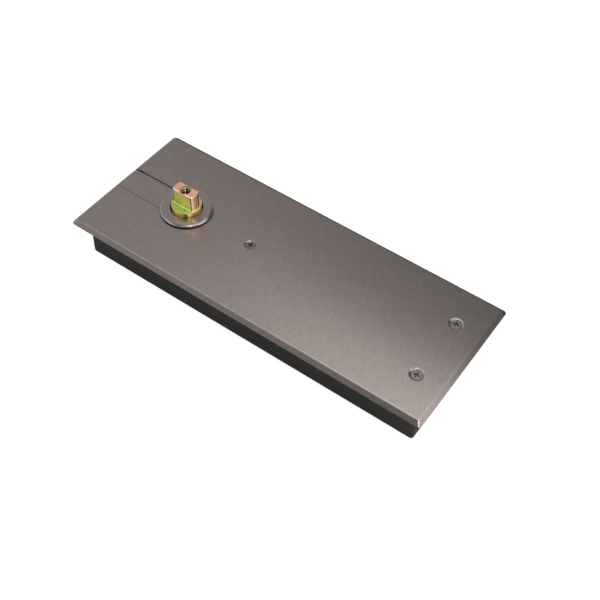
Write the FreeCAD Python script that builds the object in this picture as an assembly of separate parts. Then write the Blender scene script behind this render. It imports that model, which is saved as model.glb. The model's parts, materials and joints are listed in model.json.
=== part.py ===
import FreeCAD, Part
import math
import os

# Floor spring door closer in its cement box, door closed.
# Millimetres. X runs along the cover plate with the spindle at the -X end, Z is up.
# The origin is the middle of the box's underside.

# Cover plate, a pressed sheet with a sloped rim
PLATE_LENGTH = 300.0
PLATE_WIDTH = 120.0
PLATE_SHEET = 1.5
RIM_RUN = 3.4
RIM_DROP = 3.1
PLATE_CORNER_R = 3.0
FOLD_CORNER_R = 1.6
FOLD_R = 1.2
COVER_GAP = 0.4

# Cement box, folded from sheet
BOX_SHEET = 1.5
BOX_END_INSET = 7.5
BOX_CORNER_R = 2.2
BOX_FOLD_R = 2.3
HEAD_GAP = 7.855
ANCHOR_HOLE_R = 2.75
ANCHOR_SPACING = 140.0
ANCHOR_MID_X = -10.0
ANCHOR_FROM_WALL = 6.3

# Spindle
SPINDLE_R = 11.2
SPINDLE_RISE = 20.3
SHOULDER_RISE = 6.5
SHOULDER_EDGE_R = 0.4
TANG_FLATS = 9.0
TANG_FOOT_R = 10.3
TANG_TOP_R = 9.6
TANG_CHAMFER = 0.5
TANG_CORNER_R = 1.7
TANG_ROOT_R = 0.45
TAP_R = 3.4
TAP_DEPTH = 16.0
TAP_MOUTH_R = 4.4
PUNCH_R = 0.7
THRUST_FLANGE_STEP = 1.2
CAM_SEAT_R = 8.0
JOURNAL_R = 7.0

# Collar disc in the plate's round hole
COLLAR_GAP = 1.1
COLLAR_RISE = 2.6
COLLAR_BEVEL = 1.9
COLLAR_LIP = 5.1
SPIGOT_RELIEF = 0.5
SPIGOT_WALL = 2.0
SPIGOT_DROP = 1.4
SPIGOT_PLAY = 0.2

# Slot for the spindle and the strip that fills it
SLOT_GAP = 0.2
STRIP_FRONT_GAP = 0.1
STRIP_BACK_GAP = 1.5
STRIP_END_GAP = 0.5
STRIP_FLANGE = 4.0
STRIP_FLANGE_SHEET = 1.4

# Countersunk cover screws: one near the spindle and a larger pair at the far end
NEAR_SCREW_R = 2.0
NEAR_HEAD_R = 4.0
NEAR_HEAD_SINK = 0.3
NEAR_DIMPLE_R = 0.8
FAR_SCREW_R = 2.5
FAR_HEAD_R = 4.3
FAR_HEAD_SINK = 0.6
FAR_DIMPLE_R = 1.8
HEAD_PLAY = 0.05
HEAD_EDGE = 0.25
SCREW_HOLE_PLAY = 0.4
SCREW_LENGTH = 12.0
SCREW_END_GAP = 0.5
DIMPLE_DROP = 1.9
SCREW_LAND = 8.59
FAR_SCREW_FROM_END = 23.0
FAR_SCREW_SPACING = 53.0
CROSS_SHARE = 0.55
CROSS_WIDTH = 1.1
CROSS_DEPTH = 2.0

# Cam and slide: the cam's pitch curve is r = notch + rise x angle
CAM_RISE = 5.0
CAM_THICKNESS = 9.0
CAM_TIP_ANGLE = 0.28
CAM_TIP_EASE = 0.6
CAM_PLAY = 0.1
ROLLER_R = 6.0
PIN_R = 2.5
EYE_WALL = 3.0
SLIDE_SHEET = 3.0
SLIDE_WIDTH = 36.0
SLIDE_END = 7.5
SLIDE_PLAY = 0.3
SHAFT_SLOT_GAP = 0.6
KEY_WIDTH = 5.0
KEY_HEIGHT = 5.0
KEY_END_GAP = 0.5
CLIP_WIDTH = 1.0
CLIP_WALL = 2.4
CLIP_GROOVE = 0.8
CLIP_OPENING = 5.0
CROSSHEAD_GAP = 1.0
CROSSHEAD_LENGTH = 8.0
CROSSHEAD_WIDTH = 26.0
RIVET_R = 2.0
RIVET_SPACING = 18.0
TRAVEL_ANGLE = math.radians(130.0)

# Cylinder, piston and spring
BORE_R = 12.5
ROD_R = 4.0
ROD_END_R = 3.0
ROD_TAIL = 0.5
ROD_BUSH_WALL = 2.0
SPRING_WIRE_R = 1.8
SPRING_MEAN_R = 9.2
SPRING_TURNS = 8.5
SPRING_SEAT = 3.0
SEAT_PLAY = 0.1
SEAT_ROD_GAP = 0.6
PISTON_LENGTH = 18.0
PISTON_PLAY = 0.06
PISTON_CHAMFER = 0.8
PISTON_RING_WIDTH = 2.5
PISTON_RING_DEPTH = 1.6
NUT_LENGTH = 5.0
NUT_FLATS = 10.0
CHECK_BALL_R = 1.3
CHECK_SEAT_R = 1.0
CHECK_BORE_R = 1.5
CHECK_OFFSET = 5.4
CHECK_DEPTH = 9.0
CHECK_LIFT = 0.4
CHECK_PLUG_LENGTH = 1.2
CHECK_PLUG_HOLE_R = 0.7
END_CLEAR = 1.5
CAP_LENGTH = 7.5
CAP_WALL = 2.5
CAP_HEX = 12.0
CAP_HEX_DEPTH = 4.0
CAP_RING_FROM_LEFT = 2.2
CAP_RING_R = 1.05
CAP_GROOVE_HALF = 1.2
CAP_GROOVE_DEPTH = 2.2

# Housing, lid and gasket
FLOOR_GAP = 1.5
FLOOR_WALL = 6.7
CHAMBER_GAP = 1.2
CHAMBER_END_GAP = 1.5
CHANNEL_CORNER_R = 2.0
HOUSING_WALL = 5.0
HOUSING_CORNER_R = 6.0
CYLINDER_HALF = 24.0
CYLINDER_TOP_WALL = 4.0
CYLINDER_EDGE_R = 8.0
VALVE_BLOCK_LENGTH = 28.0
VALVE_BLOCK_HALF = 26.2
VALVE_BLOCK_DROP = 2.0
VALVE_CORNER_R = 3.0
LID_THICKNESS = 4.0
LID_OVERLAP = 2.4
LID_BOSS_R = 6.5
GASKET = 0.4
LID_SCREW_R = 2.0
LID_SCREW_DEPTH = 9.0
LID_SCREW_END_GAP = 1.0
LID_SCREW_HEAD_R = 3.6
LID_SCREW_HEAD = 2.8
LID_SCREW_INSET = 4.9
LID_SCREW_FROM_LEFT = 8.5
LID_SCREW_FROM_RIGHT = 6.0
LID_SCREW_PITCH = 22.0
SOCKET_FLATS = 3.0
SOCKET_DEPTH = 1.8
BOLT_HOLE_PLAY = 0.2
THREAD_GAP = 0.05
PORT_R = 2.0
PORT_RISE = 5.5
CROSS_PORT_R = 1.5

# Upper bearing, seal and lower bearing
BEARING_HEIGHT = 6.0
BEARING_WALL = 1.4
BEARING_ROLLER_R = 1.4
BEARING_ROLLERS = 12
BEARING_PLAY = 0.05
BEARING_OUTER_WALL = 1.9
CAGE_WALL = 1.1
CAGE_WEB = 0.7
LID_NECK_WALL = 4.5
LID_WEB = 0.6
LID_BORE_GAP = 1.0
SEAL_HEIGHT = 1.4
SEAL_GAP = 0.05
SEAL_WALL = 3.8
SEAL_LIP = 1.0
SEAL_SKIRT = 1.2
RETAINER_HEIGHT = 0.7
RETAINER_BITE = 0.6
RETAINER_PLAY = 0.1
RETAINER_WALL = 2.6
RETAINER_OPENING = 6.0
BUSH_WALL = 2.0
BUSH_PLAY = 0.05
BUSH_HEIGHT = 4.7
WASHER_HEIGHT = 0.7
WASHER_R = 11.0

# Valves and oil plug
VALVE_Y = 19.2
VALVE_FROM_END = 14.0
VALVE_R = 4.0
VALVE_PLAY = 0.05
VALVE_DEPTH = 19.0
VALVE_SEAT_GAP = 0.5
VALVE_NECK_R = 2.4
NEEDLE_TIP_R = 0.4
NEEDLE_R = 1.4
NEEDLE_LENGTH = 4.0
NEEDLE_BORE_R = 1.5
VALVE_SLOT = 1.2
VALVE_SLOT_DEPTH = 1.8
VALVE_SINK = 0.4
VALVE_RING_R = 0.85
VALVE_RING_DEPTH = 6.65
VALVE_GROOVE_HALF = 1.0
PLUG_FROM_SPINDLE = 29.3
PLUG_Y = 10.0
PLUG_R = 3.5
PLUG_HEAD_R = 5.0
PLUG_HEAD = 2.6
PLUG_WASHER = 0.8
PLUG_END_GAP = 0.5

# Lugs with levelling and clamping screws
LUG_LENGTH = 26.0
LUG_THICKNESS = 6.0
LUG_RISE = 5.0
LUG_CORNER_R = 3.0
LUG_ROOT = 2.0
LUG_WALL_GAP = 0.6
LUG_SCREW_OFFSET = 6.5
LEFT_LUG_FROM_END = 22.0
LEFT_LUG_REACH = 12.792
RIGHT_LUG_FROM_END = 15.0
RIGHT_LUG_REACH = 12.8
LEVEL_R = 3.0
LEVEL_LENGTH = 15.5
LEVEL_TIP = 1.5
CLAMP_R = 2.5
CLAMP_HOLE_PLAY = 0.4
CLAMP_END_GAP = 0.5
CLAMP_HEAD_R = 4.2
CLAMP_HEAD = 3.4
CLAMP_WASHER_R = 4.6
CLAMP_WASHER = 1.0
FLOOR_BOSS_R = 4.6
FLOOR_BOSS = 5.0

# Bridge that carries the far cover screws
BRIDGE_SHEET = 2.5
BRIDGE_LENGTH = 15.0
BRIDGE_FOOT = 7.0
BRIDGE_WALL_GAP = 2.5
BRIDGE_HOUSING_GAP = 6.1
BRIDGE_NUT_WALL = 2.5
BRIDGE_NUT = 3.5

# Overlap past a face, so that a cut leaves no skin
PAST = 1.0

# Radii round the spindle
COLLAR_IN_R = SPINDLE_R + COLLAR_GAP
SPIGOT_IN_R = COLLAR_IN_R + SPIGOT_RELIEF
SPIGOT_R = SPIGOT_IN_R + SPIGOT_WALL
PLATE_HOLE_R = SPIGOT_R + SPIGOT_PLAY
COLLAR_R = PLATE_HOLE_R + COLLAR_LIP
SLOT_Y = SPINDLE_R + SLOT_GAP
THRUST_R = SPINDLE_R + THRUST_FLANGE_STEP
SHAFT_SLOT_R = THRUST_R + SHAFT_SLOT_GAP
BEARING_IN_R = SPINDLE_R + BEARING_WALL
BEARING_PITCH_R = BEARING_IN_R + BEARING_PLAY + BEARING_ROLLER_R
BEARING_OUT_IN_R = BEARING_PITCH_R + BEARING_ROLLER_R + BEARING_PLAY
BEARING_R = BEARING_OUT_IN_R + BEARING_OUTER_WALL
NECK_R = BEARING_R + LID_NECK_WALL
SEAL_R = SPINDLE_R + SEAL_WALL
CAP_R = BORE_R + CAP_WALL

# The cam's throw, and the room that the slide needs
NOTCH_PITCH = SHAFT_SLOT_R + EYE_WALL + PIN_R
TIP_PITCH = NOTCH_PITCH + CAM_RISE * math.pi
TIP_SURFACE_R = TIP_PITCH - ROLLER_R - CAM_TIP_EASE
TRAVEL = CAM_RISE * TRAVEL_ANGLE
CHAMBER_R = TIP_PITCH - ROLLER_R + CHAMBER_GAP
CHANNEL_Y = SLIDE_WIDTH / 2 + SLIDE_PLAY

# Across: the housing's head, its lugs and the box round them
HEAD_Y = CHAMBER_R + HOUSING_WALL
LUG_OUT_Y = HEAD_Y + LEFT_LUG_REACH
BOX_IN_Y = LUG_OUT_Y + LUG_WALL_GAP
BOX_Y = BOX_IN_Y + BOX_SHEET
LEFT_LUG_Y = HEAD_Y + LEFT_LUG_REACH / 2
RIGHT_LUG_Y = VALVE_BLOCK_HALF + RIGHT_LUG_REACH / 2
LID_SCREW_Y = HEAD_Y - LID_SCREW_INSET
BRIDGE_HALF = BOX_IN_Y - BRIDGE_WALL_GAP - BRIDGE_FOOT

# Up: from the box's floor to the cover and the spindle's top
HOUSING_Z = BOX_SHEET + FLOOR_GAP
LUG_Z = HOUSING_Z + LUG_RISE
LUG_TOP = LUG_Z + LUG_THICKNESS
PORT_Z = HOUSING_Z + PORT_RISE
CHAMBER_FLOOR = HOUSING_Z + FLOOR_WALL
BUSH_Z = CHAMBER_FLOOR - BUSH_HEIGHT
SHAFT_BOTTOM = BUSH_Z + SLIDE_PLAY
WASHER_TOP = CHAMBER_FLOOR + WASHER_HEIGHT
LOWER_SLIDE_Z = WASHER_TOP + SLIDE_PLAY
CAM_LOW = LOWER_SLIDE_Z + SLIDE_SHEET + SLIDE_PLAY
AXIS_Z = CAM_LOW + CAM_THICKNESS / 2
CAM_HIGH = CAM_LOW + CAM_THICKNESS
UPPER_SLIDE_Z = CAM_HIGH + SLIDE_PLAY
UPPER_SLIDE_TOP = UPPER_SLIDE_Z + SLIDE_SHEET
CHAMBER_TOP = UPPER_SLIDE_TOP + 2 * SLIDE_PLAY
LID_Z = CHAMBER_TOP + GASKET
LID_TOP = LID_Z + LID_THICKNESS
BEARING_TOP = LID_Z + BEARING_HEIGHT
SEAL_Z = BEARING_TOP + LID_WEB
RETAINER_Z = SEAL_Z + SEAL_HEIGHT
NECK_TOP = RETAINER_Z + RETAINER_HEIGHT + RETAINER_PLAY
CYLINDER_TOP = AXIS_Z + BORE_R + CYLINDER_TOP_WALL
VALVE_TOP = CYLINDER_TOP - VALVE_BLOCK_DROP
VALVE_FLOOR = VALVE_TOP - VALVE_DEPTH
VALVE_RING_Z = VALVE_TOP - VALVE_RING_DEPTH
PLATE_UNDER = max(NECK_TOP, CYLINDER_TOP) + COVER_GAP
PLATE_TOP = PLATE_UNDER + PLATE_SHEET
RIM_Z = PLATE_TOP - RIM_DROP
SCREW_SEAT_Z = PLATE_UNDER - DIMPLE_DROP
SHOULDER_Z = PLATE_TOP + SHOULDER_RISE
SPINDLE_TOP = PLATE_TOP + SPINDLE_RISE

# Along, from the spindle's end: box, head, slide and spindle
BOX_X = PLATE_LENGTH / 2 - BOX_END_INSET
BOX_IN_X = BOX_X - BOX_SHEET
HEAD_LEFT = -BOX_IN_X + HEAD_GAP
CHAMBER_LEFT = HEAD_LEFT + HOUSING_WALL
SLIDE_LEFT = CHAMBER_LEFT + CHAMBER_END_GAP + TRAVEL
ROLLER_LEFT_X = SLIDE_LEFT + SLIDE_END
SPINDLE_X = ROLLER_LEFT_X + NOTCH_PITCH
ROLLER_RIGHT_X = SPINDLE_X + TIP_PITCH
CROSSHEAD_X = ROLLER_RIGHT_X + ROLLER_R + CROSSHEAD_GAP
SLIDE_RIGHT = CROSSHEAD_X + CROSSHEAD_LENGTH
RIVET_X = CROSSHEAD_X + CROSSHEAD_LENGTH / 2
CHAMBER_RIGHT = SLIDE_RIGHT + CHAMBER_END_GAP
NEAR_SCREW_X = CHAMBER_RIGHT + SCREW_LAND
LID_RIGHT = NEAR_SCREW_X + LID_BOSS_R
HEAD_RIGHT = LID_RIGHT + LID_OVERLAP
LEFT_LUG_X = HEAD_LEFT + LEFT_LUG_FROM_END
PLUG_X = SPINDLE_X + PLUG_FROM_SPINDLE

# Along, from the far end: bridge, end cap, piston, and the spring in what is left
FAR_SCREW_X = PLATE_LENGTH / 2 - FAR_SCREW_FROM_END
HOUSING_RIGHT = FAR_SCREW_X - BRIDGE_LENGTH / 2 - BRIDGE_HOUSING_GAP
CAP_LEFT = HOUSING_RIGHT - CAP_LENGTH
CAP_RING_X = CAP_LEFT + CAP_RING_FROM_LEFT
ROD_RIGHT = CAP_LEFT - END_CLEAR
PISTON_RIGHT = ROD_RIGHT - ROD_TAIL - NUT_LENGTH
PISTON_LEFT = PISTON_RIGHT - PISTON_LENGTH
PISTON_GROOVE_X = PISTON_LEFT + (PISTON_LENGTH - PISTON_RING_WIDTH) / 2
SPRING_LEFT = HEAD_RIGHT + SPRING_SEAT
SPRING_LENGTH = PISTON_LEFT - SPRING_LEFT
VALVE_X = HOUSING_RIGHT - VALVE_FROM_END
RIGHT_LUG_X = HOUSING_RIGHT - RIGHT_LUG_FROM_END


def at(x, y, z):
    return FreeCAD.Vector(x, y, z)


def post(radius, z0, z1, x=SPINDLE_X, y=0.0):
    return Part.makeCylinder(radius, z1 - z0, at(x, y, z0))


def ring(outer, inner, z0, z1, x=SPINDLE_X, y=0.0):
    return post(outer, z0, z1, x, y).cut(post(inner, z0, z1, x, y))


def rod(radius, x0, x1, y=0.0, z=AXIS_Z):
    return Part.makeCylinder(radius, x1 - x0, at(x0, y, z), at(1, 0, 0))


def block(x0, x1, y0, y1, z0, z1):
    return Part.makeBox(x1 - x0, y1 - y0, z1 - z0, at(x0, y0, z0))


def cone(r0, r1, z0, z1, x=SPINDLE_X, y=0.0):
    return Part.makeCone(r0, r1, z1 - z0, at(x, y, z0))


def rounded_outline(x0, x1, y0, y1, r, z):
    """A rectangle with round corners as one closed wire."""
    edges = []
    corners = [(x1 - r, y0 + r, -90), (x1 - r, y1 - r, 0), (x0 + r, y1 - r, 90), (x0 + r, y0 + r, 180)]
    arcs = []
    for cx, cy, start in corners:
        points = []
        for turn in (0, 45, 90):
            angle = math.radians(start + turn)
            points.append(at(cx + r * math.cos(angle), cy + r * math.sin(angle), z))
        arcs.append(points)
    for i, points in enumerate(arcs):
        edges.append(Part.Arc(*points).toShape())
        edges.append(Part.makeLine(points[2], arcs[(i + 1) % 4][0]))
    return Part.Wire(edges)


def slab(x0, x1, y0, y1, r, z0, z1):
    """A plate with round corners."""
    face = Part.Face(rounded_outline(x0, x1, y0, y1, r, z0))
    return face.extrude(at(0, 0, z1 - z0))


def hexagon(flats, z0, z1, x, y):
    """A six-sided prism along Z."""
    reach = flats / math.sqrt(3)
    points = []
    for i in range(7):
        angle = math.radians(60 * i)
        points.append(at(x + reach * math.cos(angle), y + reach * math.sin(angle), z0))
    return Part.Face(Part.makePolygon(points)).extrude(at(0, 0, z1 - z0))


def hexagon_x(flats, x0, x1):
    """A six-sided prism on the cylinder's axis."""
    prism = hexagon(flats, 0, x1 - x0, 0, 0)
    prism.rotate(at(0, 0, 0), at(0, 1, 0), 90)
    prism.translate(at(x0, 0, AXIS_Z))
    return prism


def edges_at(shape, keep):
    return [edge for edge in shape.Edges if keep(edge)]


def edges_along(shape, axis, keep):
    """Straight edges along an axis whose middle passes the test."""
    found = []
    for edge in shape.Edges:
        if edge.Curve.TypeId != "Part::GeomLine":
            continue
        direction = edge.tangentAt(edge.FirstParameter)
        if abs(abs(direction.dot(axis)) - 1) < 1e-6 and keep(edge.CenterOfMass):
            found.append(edge)
    return found


def far_screw_places():
    return [(FAR_SCREW_X, side * FAR_SCREW_SPACING / 2) for side in (-1, 1)]


def cover_screws():
    """Place of each cover screw, with its shank, head, the head's depth and the dimple's edge radius."""
    near = (NEAR_SCREW_R, NEAR_HEAD_R, NEAR_HEAD_SINK, NEAR_DIMPLE_R)
    far = (FAR_SCREW_R, FAR_HEAD_R, FAR_HEAD_SINK, FAR_DIMPLE_R)
    return [(NEAR_SCREW_X, 0.0) + near] + [place + far for place in far_screw_places()]


def lid_screw_places():
    places = []
    right = LID_RIGHT - LID_SCREW_FROM_RIGHT
    for x in (HEAD_LEFT + LID_SCREW_FROM_LEFT, right - LID_SCREW_PITCH, right):
        for side in (-1, 1):
            places.append((x, side * LID_SCREW_Y))
    return places


def lug_places():
    """Middle of each lug, with the half-width that it has."""
    places = []
    for side in (-1, 1):
        places.append((LEFT_LUG_X, side * LEFT_LUG_Y, LUG_OUT_Y - LEFT_LUG_Y))
        places.append((RIGHT_LUG_X, side * RIGHT_LUG_Y, RIGHT_LUG_REACH / 2))
    return places


def levelling_places():
    return [(x - LUG_SCREW_OFFSET, y) for x, y, half in lug_places()]


def clamping_places():
    return [(x + LUG_SCREW_OFFSET, y) for x, y, half in lug_places()]


def anchor_places():
    y = BOX_IN_Y - ANCHOR_FROM_WALL
    return [(ANCHOR_MID_X + i * ANCHOR_SPACING / 2, j * y) for i in (-1, 1) for j in (-1, 1)]


def pressed_cover():
    """The cover sheet before its slot and holes are cut."""
    lean = RIM_RUN / RIM_DROP
    wall = PLATE_SHEET * math.hypot(RIM_RUN, RIM_DROP) / RIM_DROP
    x = PLATE_LENGTH / 2
    y = PLATE_WIDTH / 2

    def outline(inset, r, z):
        return rounded_outline(-x + inset, x - inset, -y + inset, y - inset, r, z)

    outer = Part.makeLoft(
        [outline(0, PLATE_CORNER_R, RIM_Z), outline(RIM_RUN, FOLD_CORNER_R, PLATE_TOP)], True, True
    )
    outer = outer.makeFillet(FOLD_R, edges_at(outer, lambda e: abs(e.CenterOfMass.z - PLATE_TOP) < 1e-3))
    under = wall + lean * (PLATE_UNDER - RIM_Z)
    inner = Part.makeLoft(
        [outline(wall, FOLD_CORNER_R, RIM_Z), outline(under, FOLD_CORNER_R / 2, PLATE_UNDER)],
        True,
        True,
    )
    return outer.cut(inner)


def cover_plate():
    plate = pressed_cover()
    slot = block(-PLATE_LENGTH, SPINDLE_X, -SLOT_Y, SLOT_Y, 0, PLATE_TOP + PAST)
    plate = plate.cut(slot.fuse(post(PLATE_HOLE_R, 0, PLATE_TOP + PAST)))
    for x, y, shank, head, sink, edge in cover_screws():
        plate = dimpled(plate, x, y, shank + SCREW_HOLE_PLAY, head + HEAD_PLAY + sink, edge)
    return plate.removeSplitter()


def dimpled(plate, x, y, hole, mouth, edge):
    """The plate drawn down into a 90 degree cup with a rounded mouth, for one countersunk screw."""
    low = mouth - (PLATE_TOP - SCREW_SEAT_Z) + PLATE_SHEET * math.sqrt(2)
    high = low + PLATE_UNDER - SCREW_SEAT_Z
    throat_z = PLATE_TOP - (mouth - hole)
    plate = plate.fuse(cone(low, high, SCREW_SEAT_Z, PLATE_UNDER, x, y))
    plate = plate.cut(cone(hole, mouth, throat_z, PLATE_TOP, x, y))
    plate = plate.cut(post(hole, SCREW_SEAT_Z - PAST, PLATE_TOP, x, y))
    centre = at(x, y, PLATE_TOP)
    circles = edges_at(plate, lambda e: e.Curve.TypeId == "Part::GeomCircle")
    mouths = [circle for circle in circles if circle.Curve.Center.distanceToPoint(centre) < 1e-3]
    return plate.makeFillet(edge, mouths)


def slot_filler():
    """The strip that fills the slot, with a flange under the plate."""
    left = -PLATE_LENGTH
    strip = pressed_cover().common(
        block(left, SPINDLE_X, -SLOT_Y + STRIP_FRONT_GAP, SLOT_Y - STRIP_BACK_GAP, 0, PLATE_TOP)
    )
    flange = block(
        -BOX_IN_X + STRIP_END_GAP,
        SPINDLE_X - NECK_R - STRIP_END_GAP,
        -SLOT_Y - STRIP_FLANGE,
        SLOT_Y + STRIP_FLANGE,
        PLATE_UNDER - STRIP_FLANGE_SHEET,
        PLATE_UNDER,
    )
    strip = strip.fuse(flange)
    return strip.cut(post(PLATE_HOLE_R + SPIGOT_PLAY, 0, PLATE_TOP + PAST)).removeSplitter()


def spindle_collar():
    top = PLATE_TOP + COLLAR_RISE
    disc = post(COLLAR_R, PLATE_TOP, top)
    rim = edges_at(disc, lambda e: abs(e.CenterOfMass.z - top) < 1e-3 and e.Length > COLLAR_R)
    disc = disc.makeFillet(COLLAR_BEVEL, rim)
    spigot = post(SPIGOT_R, PLATE_TOP - SPIGOT_DROP, PLATE_TOP)
    disc = disc.fuse(spigot).cut(post(COLLAR_IN_R, 0, top))
    disc = disc.cut(post(SPIGOT_IN_R, 0, PLATE_TOP + COLLAR_RISE / 3))
    return disc.removeSplitter()


def cover_screw(x, y, shank, head, sink, _):
    top = PLATE_TOP - sink
    under = top - (head - shank)
    screw = cone(shank, head, under, top, x, y)
    screw = screw.makeFillet(HEAD_EDGE, edges_at(screw, lambda e: abs(e.CenterOfMass.z - top) < 1e-3))
    screw = screw.fuse(post(shank, top - SCREW_LENGTH, under, x, y))
    reach = head * CROSS_SHARE
    half = CROSS_WIDTH / 2
    for dx, dy in ((half, reach), (reach, half)):
        screw = screw.cut(block(x - dx, x + dx, y - dy, y + dy, top - CROSS_DEPTH, top))
    return screw.removeSplitter()


def cement_box():
    tray = slab(-BOX_X, BOX_X, -BOX_Y, BOX_Y, BOX_CORNER_R, 0, PLATE_UNDER)
    tray = tray.makeFillet(BOX_FOLD_R, edges_at(tray, lambda e: abs(e.CenterOfMass.z) < 1e-3))
    inside = slab(
        -BOX_IN_X, BOX_IN_X, -BOX_IN_Y, BOX_IN_Y, BOX_CORNER_R - BOX_SHEET, BOX_SHEET, PLATE_UNDER + PAST
    )
    fold = BOX_FOLD_R - BOX_SHEET
    inside = inside.makeFillet(fold, edges_at(inside, lambda e: abs(e.CenterOfMass.z - BOX_SHEET) < 1e-3))
    tray = tray.cut(inside)
    for x, y in anchor_places():
        tray = tray.cut(post(ANCHOR_HOLE_R, -PAST, BOX_SHEET + PAST, x, y))
    return tray.removeSplitter()


def floor_boss(x, y):
    return ring(FLOOR_BOSS_R, CLAMP_R + THREAD_GAP, BOX_SHEET, BOX_SHEET + FLOOR_BOSS, x, y)


def cover_bridge():
    """Bent strap on the box floor with tapped tabs for the far cover screws."""
    half = BRIDGE_HALF
    top = SCREW_SEAT_Z
    outline = [
        (-half - BRIDGE_FOOT, BOX_SHEET),
        (-half + BRIDGE_SHEET, BOX_SHEET),
        (-half + BRIDGE_SHEET, top - BRIDGE_SHEET),
        (half - BRIDGE_SHEET, top - BRIDGE_SHEET),
        (half - BRIDGE_SHEET, BOX_SHEET),
        (half + BRIDGE_FOOT, BOX_SHEET),
        (half + BRIDGE_FOOT, BOX_SHEET + BRIDGE_SHEET),
        (half, BOX_SHEET + BRIDGE_SHEET),
        (half, top),
        (-half, top),
        (-half, BOX_SHEET + BRIDGE_SHEET),
        (-half - BRIDGE_FOOT, BOX_SHEET + BRIDGE_SHEET),
    ]
    left = FAR_SCREW_X - BRIDGE_LENGTH / 2
    points = [at(left, y, z) for y, z in outline + outline[:1]]
    strap = Part.Face(Part.makePolygon(points)).extrude(at(BRIDGE_LENGTH, 0, 0))
    x_axis = at(1, 0, 0)
    outer_bends = edges_along(strap, x_axis, lambda c: abs(c.z - top) < 1e-3)
    strap = strap.makeFillet(BRIDGE_SHEET, outer_bends)
    under = top - BRIDGE_SHEET
    for x, y in far_screw_places():
        strap = strap.fuse(post(FAR_SCREW_R + BRIDGE_NUT_WALL, under - BRIDGE_NUT, under, x, y))
        strap = strap.cut(post(FAR_SCREW_R + THREAD_GAP, 0, top + PAST, x, y))
    return strap.removeSplitter()


def housing_blank():
    head = slab(HEAD_LEFT, HEAD_RIGHT, -HEAD_Y, HEAD_Y, HOUSING_CORNER_R, HOUSING_Z, CHAMBER_TOP)
    barrel = block(
        HEAD_RIGHT - HOUSING_CORNER_R, HOUSING_RIGHT, -CYLINDER_HALF, CYLINDER_HALF, HOUSING_Z, CYLINDER_TOP
    )
    barrel = barrel.cut(block(HEAD_LEFT, HEAD_RIGHT, -HEAD_Y, HEAD_Y, CHAMBER_TOP, PLATE_TOP))
    long_edges = edges_along(barrel, at(1, 0, 0), lambda c: abs(c.z - CYLINDER_TOP) < 1e-3)
    long_edges = [edge for edge in long_edges if abs(edge.CenterOfMass.y) > CYLINDER_HALF / 2]
    barrel = barrel.makeFillet(CYLINDER_EDGE_R, long_edges)
    valves = slab(
        HOUSING_RIGHT - VALVE_BLOCK_LENGTH,
        HOUSING_RIGHT,
        -VALVE_BLOCK_HALF,
        VALVE_BLOCK_HALF,
        VALVE_CORNER_R,
        HOUSING_Z,
        VALVE_TOP,
    )
    blank = head.fuse(barrel).fuse(valves)
    for x, y, half in lug_places():
        ends = sorted((y + math.copysign(half, y), y - math.copysign(half + LUG_ROOT, y)))
        blank = blank.fuse(slab(x - LUG_LENGTH / 2, x + LUG_LENGTH / 2, *ends, LUG_CORNER_R, LUG_Z, LUG_TOP))
    return blank


def housing_cavities():
    chamber = post(CHAMBER_R, CHAMBER_FLOOR, CHAMBER_TOP)
    channel = block(CHAMBER_LEFT, CHAMBER_RIGHT, -CHANNEL_Y, CHANNEL_Y, CHAMBER_FLOOR, CHAMBER_TOP)
    corner = edges_along(channel, at(0, 0, 1), lambda c: True)
    channel = channel.makeFillet(CHANNEL_CORNER_R, corner)
    cavities = [chamber.fuse(channel)]
    cavities.append(post(JOURNAL_R + BUSH_WALL, BUSH_Z, CHAMBER_FLOOR))
    cavities.append(rod(ROD_R + ROD_BUSH_WALL, CHAMBER_RIGHT, HEAD_RIGHT))
    cavities.append(rod(BORE_R, HEAD_RIGHT, CAP_LEFT))
    cavities.append(rod(CAP_R, CAP_LEFT, HOUSING_RIGHT))
    for side in (-1, 1):
        y = side * VALVE_Y
        cavities.append(post(VALVE_R, VALVE_FLOOR, VALVE_TOP, VALVE_X, y))
        cavities.append(post(NEEDLE_BORE_R, PORT_Z, VALVE_FLOOR, VALVE_X, y))
        cavities.append(rod(PORT_R, SPINDLE_X, VALVE_X, y, PORT_Z))
        port_x = VALVE_X + side * VALVE_NECK_R
        port = Part.makeCylinder(CROSS_PORT_R, VALVE_Y, at(port_x, 0, AXIS_Z), at(0, side, 0))
        cavities.append(port)
    for x, y in lid_screw_places():
        cavities.append(post(LID_SCREW_R + THREAD_GAP, CHAMBER_TOP - LID_SCREW_DEPTH, CHAMBER_TOP, x, y))
    screw_low = PLATE_TOP - NEAR_HEAD_SINK - SCREW_LENGTH - SCREW_END_GAP
    cavities.append(post(NEAR_SCREW_R + THREAD_GAP, screw_low, CHAMBER_TOP, NEAR_SCREW_X))
    for x, y in levelling_places():
        cavities.append(post(LEVEL_R + THREAD_GAP, 0, LUG_TOP, x, y))
    for x, y in clamping_places():
        cavities.append(post(CLAMP_R + CLAMP_HOLE_PLAY, 0, LUG_TOP, x, y))
    return cavities


def closer_housing():
    return housing_blank().cut(housing_cavities()).removeSplitter()


def lid_outline(z0, z1):
    return slab(HEAD_LEFT, LID_RIGHT, -HEAD_Y, HEAD_Y, HOUSING_CORNER_R, z0, z1)


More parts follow.
